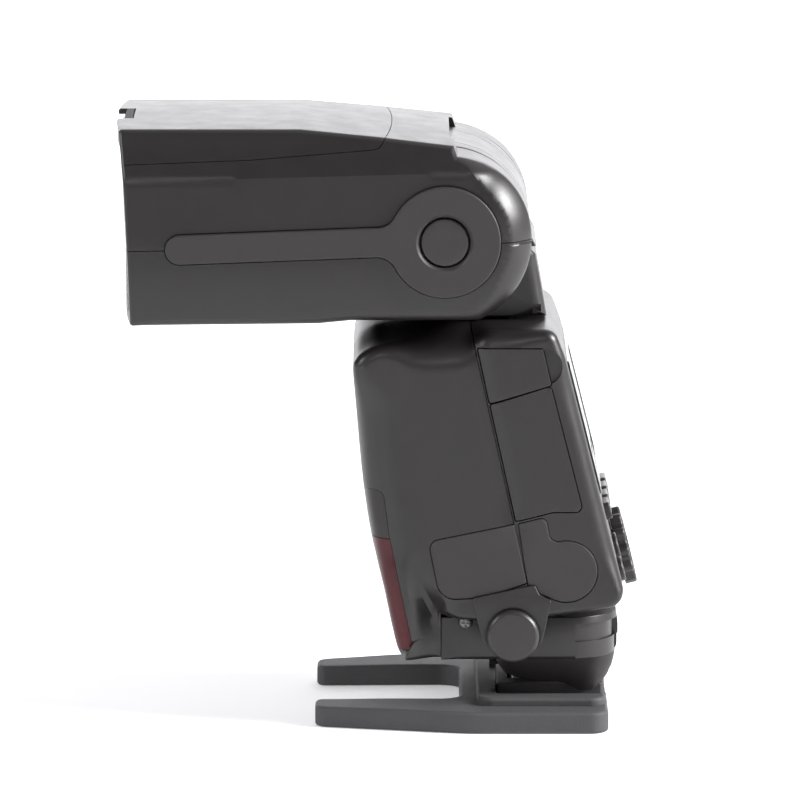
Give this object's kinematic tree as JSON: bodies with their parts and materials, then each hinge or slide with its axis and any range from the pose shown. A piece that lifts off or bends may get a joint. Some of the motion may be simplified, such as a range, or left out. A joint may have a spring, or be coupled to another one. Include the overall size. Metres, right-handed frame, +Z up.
{
  "type": "speedlight flash",
  "caption": "Hot-shoe speedlight flash with a tilting, swivelling zoom head, rear display panel and side doors, standing in a fork-shaped table stand.",
  "frame": {"origin": "under the middle of the object's bounding box, on the surface that the stand rests on", "axes": "+Z up, the light leaves the level head along -X, the display faces +X, and -Y is the side with the battery door and socket covers"},
  "size_m": [0.1254, 0.08, 0.1453],
  "materials": {
    "shell_plastic": "fine-textured moulded ABS, near-black warm grey",
    "cover_rubber": "matt rubbery covers and boot",
    "stand_plastic": "satin black nylon",
    "button_plastic": "satin grey-black",
    "trim_plastic": "smooth satin black",
    "red_window": "dark red clear plastic",
    "sensor_window": "gloss black, passes infrared",
    "lens_acrylic": "clear ribbed acrylic",
    "display_glass": "grey-green liquid crystal under a clear window",
    "steel": "machined",
    "brass": "turned",
    "reflector_metal": "bright rolled sheet",
    "tube_glass": "clear",
    "circuit_board": "green solder mask",
    "inner_plastic": "unpainted moulding",
    "cell_sleeve": "printed sleeve, unlettered"
  },
  "bodies": {
    "stand": {"stand_base": "stand_plastic", "stand_insert": "brass"},
    "flash_body": {"front_shell": "shell_plastic", "rear_shell": "shell_plastic", "pedestal": "shell_plastic", "foot": "steel", "weather_skirt": "cover_rubber", "red_window": "red_window", "sensor_window": "sensor_window", "control_panel": "sensor_window", "display_glass": "display_glass", "main_board": "circuit_board", "battery_cage": "inner_plastic", "battery_cell_1": "cell_sleeve", "battery_cell_2": "cell_sleeve", "battery_cell_3": "cell_sleeve", "battery_cell_4": "cell_sleeve", "main_capacitor": "cell_sleeve", "swivel_bush": "inner_plastic", "power_socket": "inner_plastic", "sync_socket": "steel", "bracket_mount": "cover_rubber", "bracket_bush": "brass"},
    "lock_lever": {"lock_lever": "button_plastic"},
    "lock_pin": {"lock_pin": "steel"},
    "battery_door": {"battery_door": "shell_plastic"},
    "door_latch": {"door_latch": "shell_plastic"},
    "power_cover": {"power_cover": "cover_rubber"},
    "sync_cover": {"sync_cover": "cover_rubber"},
    "bracket_plug": {"bracket_plug": "button_plastic"},
    "power_switch": {"power_switch": "button_plastic"},
    "select_dial": {"select_dial": "button_plastic"},
    "set_button": {"set_button": "button_plastic"},
    "function_button_1": {"function_button_1": "button_plastic"},
    "function_button_2": {"function_button_2": "button_plastic"},
    "function_button_3": {"function_button_3": "button_plastic"},
    "function_button_4": {"function_button_4": "button_plastic"},
    "mode_button": {"mode_button": "button_plastic"},
    "wireless_button": {"wireless_button": "button_plastic"},
    "pilot_button": {"pilot_button": "button_plastic"},
    "neck": {"neck_frame": "shell_plastic", "neck_cover": "trim_plastic", "swivel_spindle": "inner_plastic", "tilt_axle": "steel"},
    "head": {"head_upper_shell": "shell_plastic", "head_lower_shell": "shell_plastic", "top_insert": "trim_plastic", "side_trim_left": "trim_plastic", "side_trim_right": "trim_plastic", "fresnel_lens": "lens_acrylic", "zoom_motor": "steel", "guide_rod": "steel"},
    "bounce_button": {"bounce_button": "button_plastic"},
    "zoom_carriage": {"reflector": "reflector_metal", "flash_tube": "tube_glass", "carriage_nut": "inner_plastic"},
    "lead_screw": {"lead_screw": "steel"},
    "wide_panel": {"wide_panel": "lens_acrylic"},
    "catchlight_panel": {"catchlight_panel": "reflector_metal"}
  },
  "joints": [
    {"name": "foot_slide", "type": "slide", "parent": "stand", "child": "flash_body", "axis": [1, 0, 0], "range_m": [0, 0.024]},
    {"name": "lock_lever_turn", "type": "hinge", "parent": "flash_body", "child": "lock_lever", "pos_m": [0.042, 0, 0.018], "axis": [0, 0, 1], "range_deg": [0, 40]},
    {"name": "lock_pin_drop", "type": "slide", "parent": "flash_body", "child": "lock_pin", "axis": [0, 0, -1], "range_m": [0, 0.00105]},
    {"name": "battery_door_swing", "type": "hinge", "parent": "flash_body", "child": "battery_door", "pos_m": [0.0499, -0.0363, 0.0532], "axis": [-0.2478, 0, 0.9688], "range_deg": [0, 100]},
    {"name": "door_latch_slide", "type": "slide", "parent": "flash_body", "child": "door_latch", "axis": [0.9565, 0, 0.2917], "range_m": [0, 0.002], "stiffness_N_per_m": 300, "springref_m": -0.0005},
    {"name": "power_cover_flap", "type": "hinge", "parent": "flash_body", "child": "power_cover", "pos_m": [0.0134, -0.0364, 0.0456], "axis": [0.2052, 0, -0.9787], "range_deg": [0, 100]},
    {"name": "sync_cover_flap", "type": "hinge", "parent": "flash_body", "child": "sync_cover", "pos_m": [0.0335, -0.0364, 0.0502], "axis": [0.2239, 0, -0.9746], "range_deg": [0, 100]},
    {"name": "bracket_plug_pull", "type": "slide", "parent": "flash_body", "child": "bracket_plug", "axis": [0, -1, 0], "range_m": [0, 0.009]},
    {"name": "power_switch_slide", "type": "slide", "parent": "flash_body", "child": "power_switch", "axis": [0, 1, 0], "range_m": [0, 0.005]},
    {"name": "select_dial_turn", "type": "hinge", "parent": "flash_body", "child": "select_dial", "pos_m": [0.05804, 0, 0.0386], "axis": [0.9699, 0, 0.2437], "continuous": true},
    {"name": "set_button_press", "type": "slide", "parent": "flash_body", "child": "set_button", "axis": [-0.9699, 0, -0.2437], "range_m": [0, 0.0007], "stiffness_N_per_m": 300, "springref_m": -0.0005},
    {"name": "mode_button_press", "type": "slide", "parent": "flash_body", "child": "mode_button", "axis": [-0.9699, 0, -0.2437], "range_m": [0, 0.0007], "stiffness_N_per_m": 300, "springref_m": -0.0005},
    {"name": "wireless_button_press", "type": "slide", "parent": "flash_body", "child": "wireless_button", "axis": [-0.9699, 0, -0.2437], "range_m": [0, 0.0007], "stiffness_N_per_m": 300, "springref_m": -0.0005},
    {"name": "pilot_button_press", "type": "slide", "parent": "flash_body", "child": "pilot_button", "axis": [-0.9699, 0, -0.2437], "range_m": [0, 0.0007], "stiffness_N_per_m": 300, "springref_m": -0.0005},
    {"name": "function_button_1_press", "type": "slide", "parent": "flash_body", "child": "function_button_1", "axis": [-0.9699, 0, -0.2437], "range_m": [0, 0.0007], "stiffness_N_per_m": 300, "springref_m": -0.0005},
    {"name": "function_button_2_press", "type": "slide", "parent": "flash_body", "child": "function_button_2", "axis": [-0.9699, 0, -0.2437], "range_m": [0, 0.0007], "stiffness_N_per_m": 300, "springref_m": -0.0005},
    {"name": "function_button_3_press", "type": "slide", "parent": "flash_body", "child": "function_button_3", "axis": [-0.9699, 0, -0.2437], "range_m": [0, 0.0007], "stiffness_N_per_m": 300, "springref_m": -0.0005},
    {"name": "function_button_4_press", "type": "slide", "parent": "flash_body", "child": "function_button_4", "axis": [-0.9699, 0, -0.2437], "range_m": [0, 0.0007], "stiffness_N_per_m": 300, "springref_m": -0.0005},
    {"name": "head_swivel", "type": "hinge", "parent": "flash_body", "child": "neck", "pos_m": [0.0204, 0, 0.0979], "axis": [0, 0, 1], "range_deg": [-180, 180]},
    {"name": "head_tilt", "type": "hinge", "parent": "neck", "child": "head", "pos_m": [0.01624, 0, 0.1187], "axis": [0, 1, 0], "range_deg": [-7, 90]},
    {"name": "bounce_button_press", "type": "slide", "parent": "head", "child": "bounce_button", "axis": [0, 1, 0], "range_m": [0, 0.0015], "stiffness_N_per_m": 300, "springref_m": -0.0005},
    {"name": "zoom_travel", "type": "slide", "parent": "head", "child": "zoom_carriage", "axis": [1, 0, 0], "range_m": [0, 0.016]},
    {"name": "lead_screw_turn", "type": "hinge", "parent": "head", "child": "lead_screw", "pos_m": [-0.052, 0.031, 0.107], "axis": [1, 0, 0], "range_deg": [0, 721]},
    {"name": "wide_panel_slide", "type": "slide", "parent": "head", "child": "wide_panel", "axis": [-1, 0, 0], "range_m": [0, 0.04]},
    {"name": "catchlight_panel_slide", "type": "slide", "parent": "head", "child": "catchlight_panel", "axis": [-1, 0, 0], "range_m": [0, 0.03]}
  ],
  "couplings": [
    {"joint": "lock_pin_drop", "follows": "lock_lever_turn", "m_per_rad": 0.001432},
    {"joint": "lead_screw_turn", "follows": "zoom_travel", "rad_per_m": 785.4}
  ]
}
